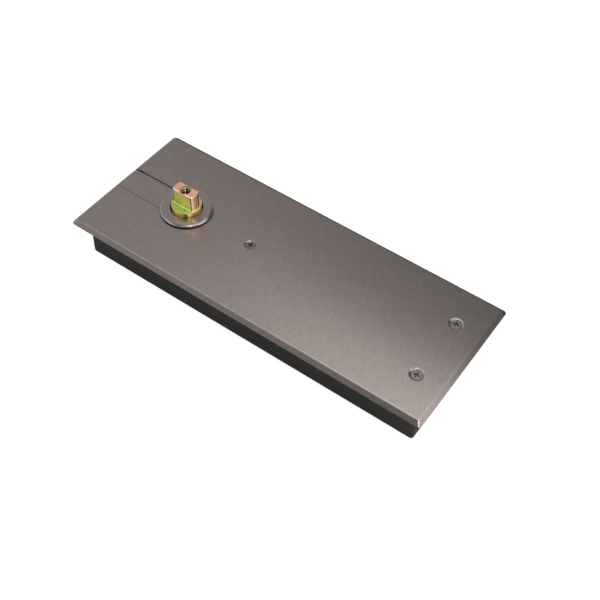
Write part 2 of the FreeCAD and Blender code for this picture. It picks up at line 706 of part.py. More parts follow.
def housing_lid():
    lid = lid_outline(LID_Z, LID_TOP)
    lid = lid.fuse(post(NECK_R, LID_Z, NECK_TOP))
    lid = lid.fuse(post(LID_BOSS_R, LID_Z, SCREW_SEAT_Z, NEAR_SCREW_X, 0))
    holes = [
        post(BEARING_R, LID_Z, BEARING_TOP),
        post(SPINDLE_R + LID_BORE_GAP, LID_Z, NECK_TOP),
        post(SEAL_R, SEAL_Z, NECK_TOP),
        post(SEAL_R + RETAINER_BITE, RETAINER_Z, RETAINER_Z + RETAINER_HEIGHT),
        post(NEAR_SCREW_R + THREAD_GAP, LID_Z, PLATE_TOP, NEAR_SCREW_X),
        post(PLUG_R + THREAD_GAP, LID_Z, LID_TOP, PLUG_X, PLUG_Y),
    ]
    for x, y in lid_screw_places():
        holes.append(post(LID_SCREW_R + BOLT_HOLE_PLAY, LID_Z, LID_TOP, x, y))
    return lid.cut(holes).removeSplitter()


def lid_gasket():
    sheet = lid_outline(CHAMBER_TOP, LID_Z)
    chamber, *_ = housing_cavities()
    opening = chamber.copy()
    opening.translate(at(0, 0, GASKET))
    sheet = sheet.cut([chamber, opening])
    sheet = sheet.cut(post(NEAR_SCREW_R + BOLT_HOLE_PLAY, CHAMBER_TOP, LID_Z, NEAR_SCREW_X))
    for x, y in lid_screw_places():
        sheet = sheet.cut(post(LID_SCREW_R + BOLT_HOLE_PLAY, CHAMBER_TOP, LID_Z, x, y))
    return sheet.removeSplitter()


def lid_screw(x, y):
    screw = post(LID_SCREW_R, CHAMBER_TOP - LID_SCREW_DEPTH + LID_SCREW_END_GAP, LID_TOP, x, y)
    screw = screw.fuse(post(LID_SCREW_HEAD_R, LID_TOP, LID_TOP + LID_SCREW_HEAD, x, y))
    top = LID_TOP + LID_SCREW_HEAD
    return screw.cut(hexagon(SOCKET_FLATS, top - SOCKET_DEPTH, top, x, y)).removeSplitter()


def bearing_places():
    for i in range(BEARING_ROLLERS):
        angle = 2 * math.pi * i / BEARING_ROLLERS
        yield SPINDLE_X + BEARING_PITCH_R * math.cos(angle), BEARING_PITCH_R * math.sin(angle)


def bearing_rollers():
    low = LID_Z + 2 * CAGE_WEB
    high = BEARING_TOP - 2 * CAGE_WEB
    return [post(BEARING_ROLLER_R, low, high, x, y) for x, y in bearing_places()]


def bearing_cage():
    low = LID_Z + CAGE_WEB
    high = BEARING_TOP - CAGE_WEB
    cage = ring(BEARING_PITCH_R + CAGE_WALL / 2, BEARING_PITCH_R - CAGE_WALL / 2, low, high)
    pockets = []
    for x, y in bearing_places():
        pockets.append(post(BEARING_ROLLER_R + BEARING_PLAY, low + CAGE_WEB, high - CAGE_WEB, x, y))
    return cage.cut(pockets).removeSplitter()


def spindle_seal():
    seal = ring(SEAL_R, SPINDLE_R + SEAL_GAP, SEAL_Z, RETAINER_Z)
    relief = ring(SEAL_R - SEAL_SKIRT, SPINDLE_R + SEAL_LIP, SEAL_Z, SEAL_Z + SEAL_HEIGHT / 2)
    return seal.cut(relief)


def split_ring(outer, inner, z0, z1, gap):
    """A flat ring with a gap at its -X side."""
    clip = ring(outer, inner, z0, z1)
    return clip.cut(block(SPINDLE_X - outer - PAST, SPINDLE_X, -gap / 2, gap / 2, z0, z1))


def spindle():
    shaft = post(JOURNAL_R, SHAFT_BOTTOM, WASHER_TOP + BUSH_PLAY)
    shaft = shaft.fuse(post(CAM_SEAT_R, WASHER_TOP + BUSH_PLAY, CAM_HIGH))
    shaft = shaft.fuse(post(THRUST_R, CAM_HIGH, LID_Z))
    shoulder = post(SPINDLE_R, LID_Z, SHOULDER_Z)
    edge = edges_at(shoulder, lambda e: abs(e.CenterOfMass.z - SHOULDER_Z) < 1e-3)
    shaft = shaft.fuse(shoulder.makeFillet(SHOULDER_EDGE_R, edge))
    half = TANG_FLATS / 2
    tang = cone(TANG_FOOT_R, TANG_TOP_R, SHOULDER_Z, SPINDLE_TOP)
    tang = tang.common(
        block(SPINDLE_X - SPINDLE_R, SPINDLE_X + SPINDLE_R, -half, half, SHOULDER_Z, SPINDLE_TOP)
    )
    corners = edges_at(tang, lambda e: e.Length > SPINDLE_RISE / 2 and e.BoundBox.ZLength > SPINDLE_RISE / 2)
    tang = tang.makeFillet(TANG_CORNER_R, corners)
    rim = edges_at(tang, lambda e: abs(e.CenterOfMass.z - SPINDLE_TOP) < 1e-3)
    tang = tang.makeChamfer(TANG_CHAMFER, rim)
    shaft = shaft.fuse(tang).removeSplitter()
    roots = edges_along(shaft, at(1, 0, 0), lambda c: abs(c.z - SHOULDER_Z) < 1e-3)
    shaft = shaft.makeFillet(TANG_ROOT_R, roots)
    mouth = TAP_MOUTH_R - TAP_R
    cuts = [
        post(TAP_R, SPINDLE_TOP - TAP_DEPTH, SPINDLE_TOP),
        cone(TAP_R, TAP_MOUTH_R, SPINDLE_TOP - mouth, SPINDLE_TOP),
        post(PUNCH_R, SPINDLE_TOP - mouth, SPINDLE_TOP, SPINDLE_X, TAP_R + PUNCH_R / 2),
        keyway_space(),
        ring(CAM_SEAT_R + PAST, CAM_SEAT_R - CLIP_GROOVE, CAM_LOW - CLIP_WIDTH, CAM_LOW),
    ]
    return shaft.cut(cuts).removeSplitter()


def keyway_space():
    """The key's seat, half in the shaft and half in the cam."""
    return block(
        SPINDLE_X + CAM_SEAT_R - KEY_HEIGHT / 2,
        SPINDLE_X + CAM_SEAT_R + KEY_HEIGHT / 2,
        -KEY_WIDTH / 2,
        KEY_WIDTH / 2,
        CAM_LOW,
        CAM_HIGH,
    )


def cam_key():
    return block(
        SPINDLE_X + CAM_SEAT_R - KEY_HEIGHT / 2,
        SPINDLE_X + CAM_SEAT_R + KEY_HEIGHT / 2,
        -KEY_WIDTH / 2,
        KEY_WIDTH / 2,
        CAM_LOW + KEY_END_GAP,
        CAM_HIGH - KEY_END_GAP,
    )


def cam_point(angle, side):
    """Point of the cam's edge that a roller touches when the spindle has turned by an angle."""
    reach = ROLLER_R + CAM_PLAY
    pitch = NOTCH_PITCH + CAM_RISE * angle
    slope = math.hypot(CAM_RISE, pitch)
    radial = pitch - reach * pitch / slope
    along = reach * CAM_RISE / slope
    x = -(radial * math.cos(angle) - along * math.sin(angle))
    y = radial * math.sin(angle) + along * math.cos(angle)
    return at(SPINDLE_X + x, side * y, CAM_LOW)


def cam():
    """Heart cam: two Archimedean flanks, the roller's pocket at the notch and a round tip."""
    last = math.pi - CAM_TIP_ANGLE
    steps = 16
    flanks = []
    for side in (1, -1):
        curve = Part.BSplineCurve()
        curve.interpolate([cam_point(last * i / steps, side) for i in range(steps + 1)])
        flanks.append(curve.toShape())
    pocket_deep = at(SPINDLE_X - NOTCH_PITCH + ROLLER_R + CAM_PLAY, 0, CAM_LOW)
    pocket = Part.Arc(cam_point(0, 1), pocket_deep, cam_point(0, -1)).toShape()
    tip = Part.Arc(
        cam_point(last, 1), at(SPINDLE_X + TIP_SURFACE_R, 0, CAM_LOW), cam_point(last, -1)
    ).toShape()
    outline = Part.Wire(Part.__sortEdges__([flanks[0], tip, flanks[1], pocket]))
    body = Part.Face(outline).extrude(at(0, 0, CAM_THICKNESS))
    return body.cut([post(CAM_SEAT_R, CAM_LOW, CAM_HIGH), keyway_space()]).removeSplitter()


def slide_plate(z):
    plate = slab(
        SLIDE_LEFT, SLIDE_RIGHT, -SLIDE_WIDTH / 2, SLIDE_WIDTH / 2, SLIDE_END, z, z + SLIDE_SHEET
    )
    near = post(SHAFT_SLOT_R, z, z + SLIDE_SHEET)
    far = post(SHAFT_SLOT_R, z, z + SLIDE_SHEET, SPINDLE_X + TRAVEL)
    middle = block(SPINDLE_X, SPINDLE_X + TRAVEL, -SHAFT_SLOT_R, SHAFT_SLOT_R, z, z + SLIDE_SHEET)
    holes = [near.fuse(far).fuse(middle)]
    for x in (ROLLER_LEFT_X, ROLLER_RIGHT_X):
        holes.append(post(PIN_R, z, z + SLIDE_SHEET, x))
    for side in (-1, 1):
        holes.append(post(RIVET_R, z, z + SLIDE_SHEET, RIVET_X, side * RIVET_SPACING / 2))
    return plate.cut(holes).removeSplitter()


def cam_roller(x):
    low = CAM_LOW - SLIDE_PLAY + BEARING_PLAY
    high = CAM_HIGH + SLIDE_PLAY - BEARING_PLAY
    return ring(ROLLER_R, PIN_R + BEARING_PLAY, low, high, x)


def crosshead():
    body = block(
        CROSSHEAD_X,
        SLIDE_RIGHT,
        -CROSSHEAD_WIDTH / 2,
        CROSSHEAD_WIDTH / 2,
        LOWER_SLIDE_Z + SLIDE_SHEET,
        UPPER_SLIDE_Z,
    )
    holes = [rod(ROD_R, CROSSHEAD_X, SLIDE_RIGHT)]
    for side in (-1, 1):
        holes.append(post(RIVET_R, 0, PLATE_TOP, RIVET_X, side * RIVET_SPACING / 2))
    return body.cut(holes)


def pull_rod():
    return rod(ROD_R, CROSSHEAD_X, PISTON_LEFT).fuse(rod(ROD_END_R, PISTON_LEFT, ROD_RIGHT)).removeSplitter()


def piston():
    radius = BORE_R - PISTON_PLAY
    body = rod(radius, PISTON_LEFT, PISTON_RIGHT)
    ends = edges_at(body, lambda e: e.Curve.TypeId == "Part::GeomCircle")
    body = body.makeChamfer(PISTON_CHAMFER, ends)
    left = PISTON_GROOVE_X
    right = left + PISTON_RING_WIDTH
    groove = rod(radius + PAST, left, right).cut(rod(radius - PISTON_RING_DEPTH, left, right))
    cuts = [
        groove,
        rod(ROD_END_R, PISTON_LEFT, PISTON_RIGHT),
        rod(CHECK_SEAT_R, PISTON_LEFT, PISTON_RIGHT, CHECK_OFFSET),
        rod(CHECK_BORE_R, PISTON_LEFT, PISTON_LEFT + CHECK_DEPTH, CHECK_OFFSET),
    ]
    return body.cut(cuts).removeSplitter()


def piston_ring():
    radius = BORE_R - PISTON_PLAY / 2
    left = PISTON_GROOVE_X
    right = left + PISTON_RING_WIDTH
    return rod(radius, left, right).cut(rod(radius - PISTON_RING_DEPTH, left, right))


def piston_nut():
    return hexagon_x(NUT_FLATS, PISTON_RIGHT, PISTON_RIGHT + NUT_LENGTH).cut(
        rod(ROD_END_R, PISTON_RIGHT, ROD_RIGHT)
    )


def check_ball():
    x = PISTON_LEFT + CHECK_DEPTH - CHECK_BALL_R
    return Part.makeSphere(CHECK_BALL_R, at(x, CHECK_OFFSET, AXIS_Z))


def check_retainer():
    x1 = PISTON_LEFT + CHECK_DEPTH - 2 * CHECK_BALL_R - CHECK_LIFT
    x0 = x1 - CHECK_PLUG_LENGTH
    return rod(CHECK_BORE_R, x0, x1, CHECK_OFFSET).cut(rod(CHECK_PLUG_HOLE_R, x0, x1, CHECK_OFFSET))


def closing_spring():
    """Round wire swept along a helix about the cylinder's axis."""
    length = SPRING_LENGTH - 2 * SPRING_WIRE_R
    helix = Part.makeHelix(length / SPRING_TURNS, length, SPRING_MEAN_R)
    start = helix.Edges[0]
    tangent = start.tangentAt(start.FirstParameter)
    section = Part.Wire(Part.makeCircle(SPRING_WIRE_R, at(SPRING_MEAN_R, 0, 0), tangent))
    wire = Part.Wire(helix).makePipeShell([section], True, True)
    wire.rotate(at(0, 0, 0), at(0, 1, 0), 90)
    wire.translate(at(SPRING_LEFT + SPRING_WIRE_R, 0, AXIS_Z))
    return wire


def spring_seat():
    seat = rod(BORE_R - SEAT_PLAY, HEAD_RIGHT, SPRING_LEFT)
    return seat.cut(rod(ROD_R + SEAT_ROD_GAP, HEAD_RIGHT, SPRING_LEFT))


def rod_bush():
    bush = rod(ROD_R + ROD_BUSH_WALL, CHAMBER_RIGHT, HEAD_RIGHT)
    return bush.cut(rod(ROD_R + BUSH_PLAY, CHAMBER_RIGHT, HEAD_RIGHT))


def cylinder_end_cap():
    cap = rod(CAP_R - THREAD_GAP, CAP_LEFT, HOUSING_RIGHT)
    left = CAP_RING_X - CAP_GROOVE_HALF
    right = CAP_RING_X + CAP_GROOVE_HALF
    groove = rod(CAP_R, left, right).cut(rod(CAP_R - CAP_GROOVE_DEPTH, left, right))
    socket = hexagon_x(CAP_HEX, HOUSING_RIGHT - CAP_HEX_DEPTH, HOUSING_RIGHT)
    return cap.cut([groove, socket]).removeSplitter()


def end_cap_ring():
    middle = CAP_R - THREAD_GAP - CAP_RING_R
    return Part.makeTorus(middle, CAP_RING_R, at(CAP_RING_X, 0, AXIS_Z), at(1, 0, 0))


def speed_valve(side):
    """Adjusting screw with a needle that throttles the oil port."""
    y = side * VALVE_Y
    top = VALVE_TOP - VALVE_SINK
    neck = VALVE_FLOOR + VALVE_SEAT_GAP
    thread = (VALVE_TOP + VALVE_FLOOR) / 2
    screw = post(VALVE_R - VALVE_PLAY, thread, top, VALVE_X, y)
    screw = screw.fuse(post(VALVE_NECK_R, neck, thread, VALVE_X, y))
    screw = screw.fuse(cone(NEEDLE_TIP_R, NEEDLE_R, neck - NEEDLE_LENGTH, neck, VALVE_X, y))
    low = VALVE_RING_Z - VALVE_GROOVE_HALF
    high = VALVE_RING_Z + VALVE_GROOVE_HALF
    groove = ring(VALVE_R + PAST, valve_ring_r() - VALVE_RING_R, low, high, VALVE_X, y)
    slot = block(
        VALVE_X - VALVE_SLOT / 2,
        VALVE_X + VALVE_SLOT / 2,
        y - VALVE_R,
        y + VALVE_R,
        top - VALVE_SLOT_DEPTH,
        top,
    )
    return screw.cut([groove, slot]).removeSplitter()


def valve_ring_r():
    return VALVE_R - VALVE_PLAY - VALVE_RING_R


def valve_ring(side):
    return Part.makeTorus(valve_ring_r(), VALVE_RING_R, at(VALVE_X, side * VALVE_Y, VALVE_RING_Z))


def oil_plug():
    seat = LID_TOP + PLUG_WASHER
    top = seat + PLUG_HEAD
    plug = post(PLUG_R, LID_Z + PLUG_END_GAP, seat, PLUG_X, PLUG_Y)
    plug = plug.fuse(post(PLUG_HEAD_R, seat, top, PLUG_X, PLUG_Y))
    return plug.cut(hexagon(SOCKET_FLATS, top - SOCKET_DEPTH, top, PLUG_X, PLUG_Y)).removeSplitter()


def oil_plug_washer():
    return ring(PLUG_HEAD_R, PLUG_R + THREAD_GAP, LID_TOP, LID_TOP + PLUG_WASHER, PLUG_X, PLUG_Y)


def levelling_screw(x, y):
    top = BOX_SHEET + LEVEL_LENGTH
    screw = post(LEVEL_R, BOX_SHEET + LEVEL_TIP, top, x, y)
    screw = screw.fuse(cone(LEVEL_R / 2, LEVEL_R, BOX_SHEET, BOX_SHEET + LEVEL_TIP, x, y))
    return screw.cut(hexagon(SOCKET_FLATS, top - SOCKET_DEPTH, top, x, y)).removeSplitter()


def clamping_screw(x, y):
    seat = LUG_TOP + CLAMP_WASHER
    screw = post(CLAMP_R, BOX_SHEET + CLAMP_END_GAP, seat, x, y)
    screw = screw.fuse(post(CLAMP_HEAD_R, seat, seat + CLAMP_HEAD, x, y))
    top = seat + CLAMP_HEAD
    return screw.cut(hexagon(SOCKET_FLATS, top - SOCKET_DEPTH, top, x, y)).removeSplitter()


def clamping_washer(x, y):
    return ring(CLAMP_WASHER_R, CLAMP_R + BOLT_HOLE_PLAY, LUG_TOP, LUG_TOP + CLAMP_WASHER, x, y)


def group(solids):
    """Separate like pieces that share a node."""
    return Part.makeCompound(list(solids))


def thrust_washer():
    return ring(WASHER_R, JOURNAL_R + BUSH_PLAY, CHAMBER_FLOOR, WASHER_TOP)


def nodes():
    """Every piece of the closer by the name of its node."""
    return {
        "cement_box": cement_box(),
        "box_floor_bosses": group(floor_boss(x, y) for x, y in clamping_places()),
        "cover_bridge": cover_bridge(),
        "cover_plate": cover_plate(),
        "slot_filler": slot_filler(),
        "spindle_collar": spindle_collar(),
        "cover_screws": group(cover_screw(*screw) for screw in cover_screws()),
        "closer_housing": closer_housing(),
        "housing_lid": housing_lid(),
        "lid_gasket": lid_gasket(),
        "lid_screws": group(lid_screw(x, y) for x, y in lid_screw_places()),
        "bearing_outer_ring": ring(BEARING_R, BEARING_OUT_IN_R, LID_Z, BEARING_TOP),
        "bearing_inner_ring": ring(BEARING_IN_R, SPINDLE_R, LID_Z, BEARING_TOP),
        "bearing_rollers": group(bearing_rollers()),
        "bearing_cage": bearing_cage(),
        "spindle_seal": spindle_seal(),
        "seal_retaining_ring": split_ring(
            SEAL_R + RETAINER_BITE - RETAINER_PLAY,
            SEAL_R + RETAINER_BITE - RETAINER_WALL,
            RETAINER_Z,
            RETAINER_Z + RETAINER_HEIGHT,
            RETAINER_OPENING,
        ),
        "lower_bearing_bush": ring(JOURNAL_R + BUSH_WALL, JOURNAL_R + BUSH_PLAY, BUSH_Z, CHAMBER_FLOOR),
        "lower_thrust_washer": thrust_washer(),
        "rod_bush": rod_bush(),
        "spring_seat": spring_seat(),
        "closing_spring": closing_spring(),
        "cylinder_end_cap": cylinder_end_cap(),
        "end_cap_ring": end_cap_ring(),
        "closing_speed_valve": speed_valve(1),
        "closing_valve_ring": valve_ring(1),
        "latching_speed_valve": speed_valve(-1),
        "latching_valve_ring": valve_ring(-1),
        "oil_filler_plug": oil_plug(),
        "oil_filler_washer": oil_plug_washer(),
        "levelling_screws": group(levelling_screw(x, y) for x, y in levelling_places()),
        "clamping_screws": group(clamping_screw(x, y) for x, y in clamping_places()),
        "clamping_washers": group(clamping_washer(x, y) for x, y in clamping_places()),
        "spindle": spindle(),
        "cam": cam(),
        "cam_key": cam_key(),
        "cam_circlip": split_ring(
            CAM_SEAT_R + CLIP_WALL - CLIP_GROOVE,
            CAM_SEAT_R - CLIP_GROOVE,
            CAM_LOW - CLIP_WIDTH,
            CAM_LOW,
            CLIP_OPENING,
        ),
        "slide_plate_lower": slide_plate(LOWER_SLIDE_Z),
        "slide_plate_upper": slide_plate(UPPER_SLIDE_Z),
        "roller_pins": group(
            post(PIN_R, LOWER_SLIDE_Z, UPPER_SLIDE_TOP, x) for x in (ROLLER_LEFT_X, ROLLER_RIGHT_X)
        ),
        "cam_roller_left": cam_roller(ROLLER_LEFT_X),
        "cam_roller_right": cam_roller(ROLLER_RIGHT_X),
        "crosshead": crosshead(),
        "crosshead_rivets": group(
            post(RIVET_R, LOWER_SLIDE_Z, UPPER_SLIDE_TOP, RIVET_X, side * RIVET_SPACING / 2)
            for side in (-1, 1)
        ),
        "pull_rod": pull_rod(),
        "piston": piston(),
        "piston_ring": piston_ring(),
        "piston_nut": piston_nut(),
        "check_valve_ball": check_ball(),
        "check_valve_retainer": check_retainer(),
    }


def main():
    os.makedirs("parts", exist_ok=True)
    for name, shape in nodes().items():
        shape.exportStep("parts/" + name + ".step")


main()
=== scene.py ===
import json
import math

import bmesh
import bpy
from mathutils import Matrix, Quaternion, Vector


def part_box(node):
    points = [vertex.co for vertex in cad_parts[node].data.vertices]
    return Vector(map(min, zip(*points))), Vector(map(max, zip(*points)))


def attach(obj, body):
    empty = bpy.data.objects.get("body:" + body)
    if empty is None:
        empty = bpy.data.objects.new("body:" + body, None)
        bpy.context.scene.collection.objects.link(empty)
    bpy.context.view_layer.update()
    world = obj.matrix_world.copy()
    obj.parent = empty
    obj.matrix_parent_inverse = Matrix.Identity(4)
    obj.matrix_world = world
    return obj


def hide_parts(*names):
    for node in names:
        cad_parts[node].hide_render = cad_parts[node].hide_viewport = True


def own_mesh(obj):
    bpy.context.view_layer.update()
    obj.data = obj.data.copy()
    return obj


# Camera fitted to the photograph, in the part's frame: metres and degrees
CAMERA_PLACE = (0.272493, -0.408441, 0.591221)
CAMERA_TURN = (39.556, -2.389, 35.064)
SENSOR = 36.0
LENS = 61.859

# Sizes shared with the part
SPINDLE_X = -0.0893
PLATE_TOP = 0.038
SHOULDER_Z = 0.0445
SPINDLE_TOP = 0.0583
TAP_MOUTH_R = 0.0044
THREAD_PITCH = 0.00125
SLOT_Y = 0.0114
SLOT_BACK = 0.0099
FOLD_X = 0.1466
FOLD_Y = 0.0566

# The dark strip under the slot's end, which stands in for shade in the gap: its upper face over X and Z,
# thickness, lap past the slot, soft edge
SHADE_STRIP_RUN = [(-0.1476, 0.0350), (-0.1459, 0.03645), (-0.1427, 0.03645)]
SHADE_STRIP_SHEET = 0.0006
SHADE_STRIP_LAP = 0.0008
SHADE_STRIP_EDGE = 0.0001

# The closing spring: wire, turns, and its mesh's steps a turn and sides
SPRING_WIRE_R = 0.0018
SPRING_TURNS = 8.5
SPRING_STEPS = 44
SPRING_SIDES = 14

# The room as metal mirrors it: bright walls, a grey ceiling that is dark towards the right, and the fill
WALLS = [(0.0, 0.95), (0.50, 0.80), (0.75, 0.12), (1.0, 0.12)]
CEILING = [(0.0, 0.42), (0.30, 0.43), (0.48, 0.03), (0.66, 0.09), (1.0, 0.10)]
CEILING_FROM = (0.12, 0.40)
FILL = 0.8

# Lamps: name, place, what they point at, size, the level that metal mirrors, turn in degrees
LAMPS = [
    ("overhead", (0.36, 0.06, 0.62), (0.36, 0.06, 0), (1.00, 0.75), 1.02, 7.5),
    ("side", (0.80, 0.125, 0.22), (0.147, -0.05, 0.038), (0.58, 0.30), 1.3, 0.0),
    ("key", (-0.50, -0.42, 0.56), (-0.09, 0, 0.04), (0.20, 0.20), 2.0, 0.0),
    ("spark", (0.458, -0.428, 0.77), (-0.09, 0, 0.05), (0.12, 0.12), 24.0, 0.0),
]

# The floor: half its width, its drop below the part, its grey, and the glow that the camera alone sees
FLOOR_HALF = 6.0
FLOOR_DROP = 0.0004
FLOOR_GREY = 0.60
FLOOR_GLOW = 0.74

# A colour Mix node's sockets, which share their names with those for numbers and vectors
MIX_FACTOR, MIX_A, MIX_B, MIX_RESULT = 0, 6, 7, 2

# Noise lies mostly between these two values
NOISE_SPAN = (0.3, 0.7)

# Noise in the finishes, in cells per metre along X, Y and Z
TURNED_RINGS = (900, 900, 2600)
TURNED_MARKS = (160, 160, 160)
DISC_MARKS = (140, 140, 140)
PAINT_PEEL = (1400, 1400, 1400)
PAINT_WEAR = (30, 30, 30)
CAST_GRIT = (900, 900, 900)
CAST_CLOUD = (45, 45, 45)
MOULD_GRIT = (2200, 2200, 2200)
FILM_CLOUD = (95, 95, 60)
FILM_LINES = (1500, 1500, 90)
SPINDLE_CLOUD = (230, 230, 160)
SPINDLE_LINES = (1600, 1600, 120)

# The cover's grain in cells per metre, how far its lines differ, and its slow change of gloss
GRAIN_FINE = (2600, 170, 500)
GRAIN_LONG = (1700, 120, 400)
GRAIN_DEPTH = 0.18
GRAIN_GLOSS = (0, 0.015)
MOTTLE = (14, 7, 9)
MOTTLE_GLOSS = (-0.01, 0.015)
MIRRORED_TINT = (0.55, 0.52, 0.50)

# The cover's folds: how wide, how bright their painted highlight is, where over X less Y that highlight
# begins, and the painted shade on the back fold
FOLD_SOFT = 0.0011
FOLD_HIGHLIGHT = 1.45
FOLD_HIGHLIGHT_SHARE = 0.6
FOLD_HIGHLIGHT_FROM = (-0.06, 0.08)
FOLD_BEHIND_SHADE = 0.45

# Painted shade along the gap in front of the filler strip: from its core to its edge, how it ends, depth
# and colour
GAP_SHADE_HALF = (0.0001, 0.0004)
GAP_SHADE_END = 0.0002
GAP_SHADE_SHARE = 0.55
GAP_SHADE_COLOUR = (0.04, 0.035, 0.03)

# The collar: rings per metre and their shades, the painted highlight along its edge and the painted
# shade at its foot, above the plate
DISC_RINGS = 2600
DISC_DARK = 0.88
DISC_PALE = 1.10
DISC_HIGHLIGHT_Z = 0.0017
DISC_HIGHLIGHT_SOFT = 0.0004
DISC_HIGHLIGHT = (2.0, 0.85)
DISC_SHADE_Z = (0.0009, 0.0014)
DISC_SHADE = (0.02, 0.018, 0.016)

# The passivation film's colours as it thickens
PASSIVATED = (0.80, 0.58, 0.20)
FILM = [
    (0.0, (0.78, 0.38, 0.36)),
    (0.22, (0.84, 0.40, 0.24)),
    (0.45, (0.92, 0.58, 0.18)),
    (0.66, (0.76, 0.66, 0.14)),
    (0.85, (0.46, 0.60, 0.10)),
    (1.0, (0.33, 0.50, 0.11)),
]
# How thick it is on the spindle, from one end of a face to the other, and where two of those faces end
FLAT_FOOT_TO_TOP = (0.94, 0.46)
FLAT_LEFT_TO_RIGHT = (0.04, -0.28)
FLAT_SPAN = (-0.002, 0.009)
END_FOOT_TO_TOP = (0.46, 0.34)
# The ledge runs green at the front, a painted reflection of the flat above it, and paler to the back
LEDGE_FRONT_TO_BACK = (0.92, 0.24)
LEDGE_SPAN = (-0.0058, -0.0035)
BAND_FOOT_TO_TOP = (0.62, 0.40)
# How far its two noises thin or thicken it there, and on the top face, where they make all of it
CLOUD_DRIFT = (-0.13, 0.13)
LINES_DRIFT = (-0.04, 0.04)
TOP_PATCHES = (0.02, 0.34)
TOP_SPAN = (0.34, 0.66)
TOP_LINES = (-0.05, 0.05)
# Painted reflections: lengthwise dark and pale streaks round the tang's ends, by which way they face,
# from the front flat to the back one
REFLECTED_STREAKS = [
    (0.0, (1.0, 1.0, 1.0)),
    (0.006, (0.10, 0.08, 0.06)),
    (0.055, (0.10, 0.08, 0.06)),
    (0.075, (1.0, 1.0, 1.0)),
    (0.44, (1.0, 1.0, 0.95)),
    (0.455, (0.40, 0.28, 0.22)),
    (0.475, (0.40, 0.28, 0.22)),
    (0.49, (1.0, 0.88, 0.85)),
    (0.56, (1.0, 0.88, 0.85)),
    (0.585, (0.12, 0.11, 0.08)),
    (0.65, (0.12, 0.11, 0.08)),
    (0.69, (1.0, 1.0, 0.9)),
    (1.0, (1.0, 1.0, 1.0)),
]
# The same painted reflections for the band below the shoulder, over the normal's share along BAND_ACROSS
BAND_ACROSS = (0.82, 0.57)
BAND_REFLECTIONS = [
    (0.0, (1.0, 0.70, 0.68)),
    (0.11, (1.0, 0.86, 0.80)),
    (0.29, (1.0, 1.0, 0.92)),
    (0.42, (0.80, 0.82, 0.72)),
    (0.46, (0.30, 0.33, 0.22)),
    (0.56, (0.30, 0.33, 0.22)),
    (0.61, (1.0, 1.0, 0.8)),
    (0.70, (1.0, 1.0, 0.9)),
    (0.76, (0.62, 0.46, 0.42)),
    (0.86, (0.62, 0.50, 0.46)),
    (1.0, (1.0, 1.0, 0.9)),
]
# Shares of the normal between which one kind of the spindle's faces turns into the next
FACING_FLAT = (0.86, 0.98)
FACING_UP = (0.93, 0.98)
SLOPE_FROM = (0.12, 0.35)
SLOPE_TO = (0.90, 0.97)
CORNER_FROM = (0.36, 0.42)
CORNER_TO = (0.86, 0.90)
# Where the spindle gets painted highlights: how soft an edge is, chamfers higher up, the fillet at the
# foot
EDGE_SOFT = 0.0002
CHAMFER_HIGHLIGHT = (0.35, 0.62)
CHAMFER_HIGHLIGHT_COLOUR = (1.0, 0.78, 0.70)
FILLET_Z = (0.00002, 0.00006)
FILLET_END = (0.050, 0.052)
FILLET_HIGHLIGHT = (1.0, 0.93, 0.58)
CORNER_HIGHLIGHT = (1.0, 0.95, 0.88)
# The tapped hole: its floor below the shoulder, and its painted shade down from the top, dark and pale
# over the thread
TAP_FLOOR = (0.006, 0.005)
TAP_SHADE = (0.0055, 0.0005)
TAP_DARK = (0.10, 0.09, 0.05)
TAP_PALE = (0.66, 0.56, 0.30)
LINES_HEIGHT = 0.000004

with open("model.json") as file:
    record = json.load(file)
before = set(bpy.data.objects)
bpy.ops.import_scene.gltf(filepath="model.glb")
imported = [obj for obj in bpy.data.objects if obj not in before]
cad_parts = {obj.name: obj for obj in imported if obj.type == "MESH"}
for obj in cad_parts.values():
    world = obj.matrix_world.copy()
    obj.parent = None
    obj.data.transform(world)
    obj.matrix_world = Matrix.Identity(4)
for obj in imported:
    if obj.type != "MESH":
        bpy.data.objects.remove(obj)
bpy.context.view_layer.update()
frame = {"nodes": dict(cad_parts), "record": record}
nodes = frame["nodes"]


def scaled(colour, factor):
    """A colour times a factor, at most white."""
    return tuple(min(1.0, c * factor) for c in colour)


def colour_ramp(tree, value, stops):
    """A colour ramp over a value, with a colour at each stop."""
    made = tree.nodes.new("ShaderNodeValToRGB")
    elements = made.color_ramp.elements
    while len(elements) < len(stops):
        elements.new(0.5)
    for element, (position, colour) in zip(elements, stops):
        element.position = position
        element.color = (*colour, 1)
    tree.links.new(value, made.inputs["Fac"])
    return made.outputs["Color"]


